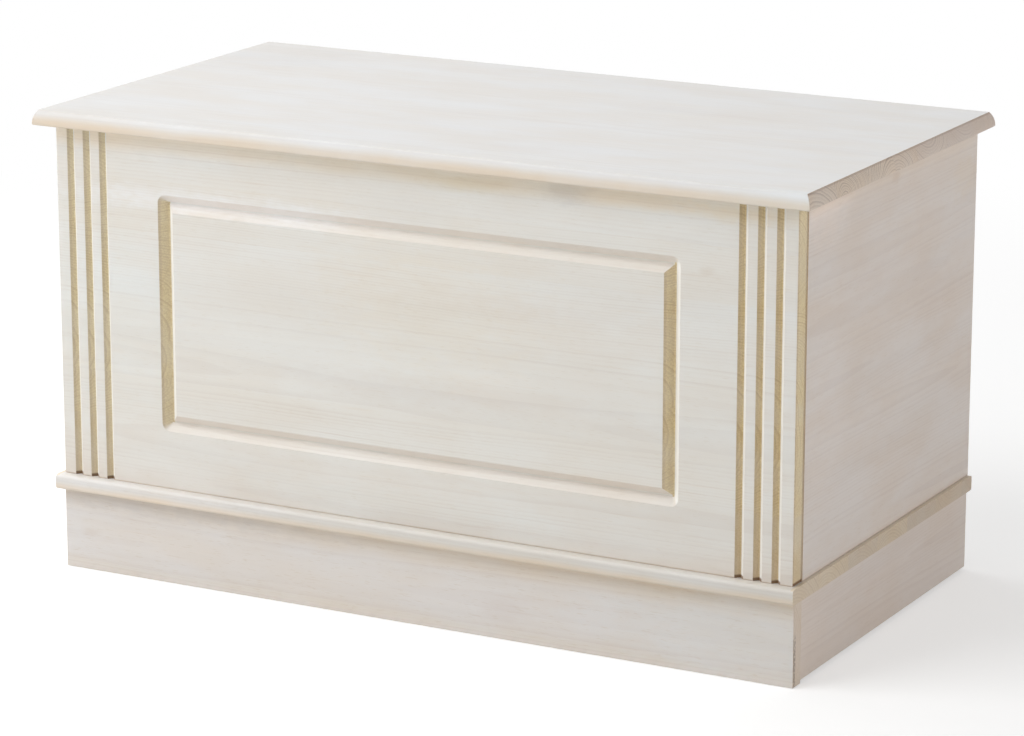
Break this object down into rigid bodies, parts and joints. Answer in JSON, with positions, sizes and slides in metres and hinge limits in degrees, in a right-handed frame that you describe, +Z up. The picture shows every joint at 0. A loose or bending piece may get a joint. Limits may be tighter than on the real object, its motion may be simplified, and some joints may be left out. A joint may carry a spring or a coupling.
{
  "type": "storage chest",
  "caption": "Low whitewashed pine chest with a grooved and fluted front, a moulded base board on a plinth and a lid on butt hinges with folding stays.",
  "frame": {"origin": "on the floor, under the middle of the lid's outline", "axes": "+X along the front to the viewer's right, +Y from the front to the back, +Z up"},
  "size_m": [0.89, 0.47, 0.5],
  "materials": {
    "whitewashed_pine": "white glaze over pine grain, matt",
    "raw_pine": "sawn, untreated",
    "beech": "plain turned",
    "zinc_steel": "bright zinc plated",
    "zinc_casting": "as cast",
    "brass_plate": "brass plated steel",
    "nickel_steel": "nickel plated",
    "rivet_steel": "plain bright"
  },
  "bodies": {
    "chest": {"front_panel": "whitewashed_pine", "left_side_panel": "whitewashed_pine", "right_side_panel": "whitewashed_pine", "back_panel": "whitewashed_pine", "base_board": "whitewashed_pine", "plinth_front": "whitewashed_pine", "plinth_left": "whitewashed_pine", "plinth_right": "whitewashed_pine", "plinth_back": "whitewashed_pine", "corner_block_front_left": "raw_pine", "corner_block_front_right": "raw_pine", "corner_block_back_left": "raw_pine", "corner_block_back_right": "raw_pine", "dowels": "beech", "cam_bolts": "zinc_steel", "cam_housings": "zinc_casting", "base_screws": "zinc_steel", "floor_screws": "zinc_steel", "block_screws": "zinc_steel", "hinge_wall_screws": "brass_plate", "stay_wall_screws": "zinc_steel", "hinge_wall_leaf_left": "brass_plate", "hinge_pin_left": "brass_plate", "stay_wall_bracket_left": "nickel_steel", "stay_wall_pivot_left": "rivet_steel", "hinge_wall_leaf_right": "brass_plate", "hinge_pin_right": "brass_plate", "stay_wall_bracket_right": "nickel_steel", "stay_wall_pivot_right": "rivet_steel"},
    "lid": {"lid_panel": "whitewashed_pine", "batten_screws": "zinc_steel", "hinge_lid_screws": "brass_plate", "stay_lid_screws": "zinc_steel", "lid_batten_left": "whitewashed_pine", "hinge_lid_leaf_left": "brass_plate", "stay_lid_bracket_left": "nickel_steel", "stay_lid_pivot_left": "rivet_steel", "lid_batten_right": "whitewashed_pine", "hinge_lid_leaf_right": "brass_plate", "stay_lid_bracket_right": "nickel_steel", "stay_lid_pivot_right": "rivet_steel"},
    "lower_arm_left": {"stay_lower_arm_left": "nickel_steel", "stay_elbow_rivet_left": "rivet_steel", "stay_stop_pin_left": "rivet_steel"},
    "upper_arm_left": {"stay_upper_arm_left": "nickel_steel"},
    "lower_arm_right": {"stay_lower_arm_right": "nickel_steel", "stay_elbow_rivet_right": "rivet_steel", "stay_stop_pin_right": "rivet_steel"},
    "upper_arm_right": {"stay_upper_arm_right": "nickel_steel"}
  },
  "joints": [
    {"name": "lid_hinge", "type": "hinge", "parent": "chest", "child": "lid", "pos_m": [0, 0.2321, 0.4809], "axis": [-1, 0, 0], "range_deg": [0, 95]},
    {"name": "stay_wall_hinge_left", "type": "hinge", "parent": "chest", "child": "lower_arm_left", "pos_m": [-0.4087, 0.16327, 0.3826], "axis": [-1, 0, 0], "range_deg": [0, 95]},
    {"name": "stay_elbow_left", "type": "hinge", "parent": "lower_arm_left", "child": "upper_arm_left", "pos_m": [-0.4087, 0.00352, 0.3737], "axis": [1, 0, 0], "range_deg": [0, 95]},
    {"name": "stay_wall_hinge_right", "type": "hinge", "parent": "chest", "child": "lower_arm_right", "pos_m": [0.4087, 0.16327, 0.3826], "axis": [-1, 0, 0], "range_deg": [0, 95]},
    {"name": "stay_elbow_right", "type": "hinge", "parent": "lower_arm_right", "child": "upper_arm_right", "pos_m": [0.4087, 0.00352, 0.3737], "axis": [1, 0, 0], "range_deg": [0, 95]}
  ],
  "couplings": [
    {"joint": "stay_wall_hinge_left", "follows": "lid_hinge", "ratio": 1},
    {"joint": "stay_elbow_left", "follows": "lid_hinge", "ratio": 1},
    {"joint": "stay_wall_hinge_right", "follows": "lid_hinge", "ratio": 1},
    {"joint": "stay_elbow_right", "follows": "lid_hinge", "ratio": 1}
  ]
}
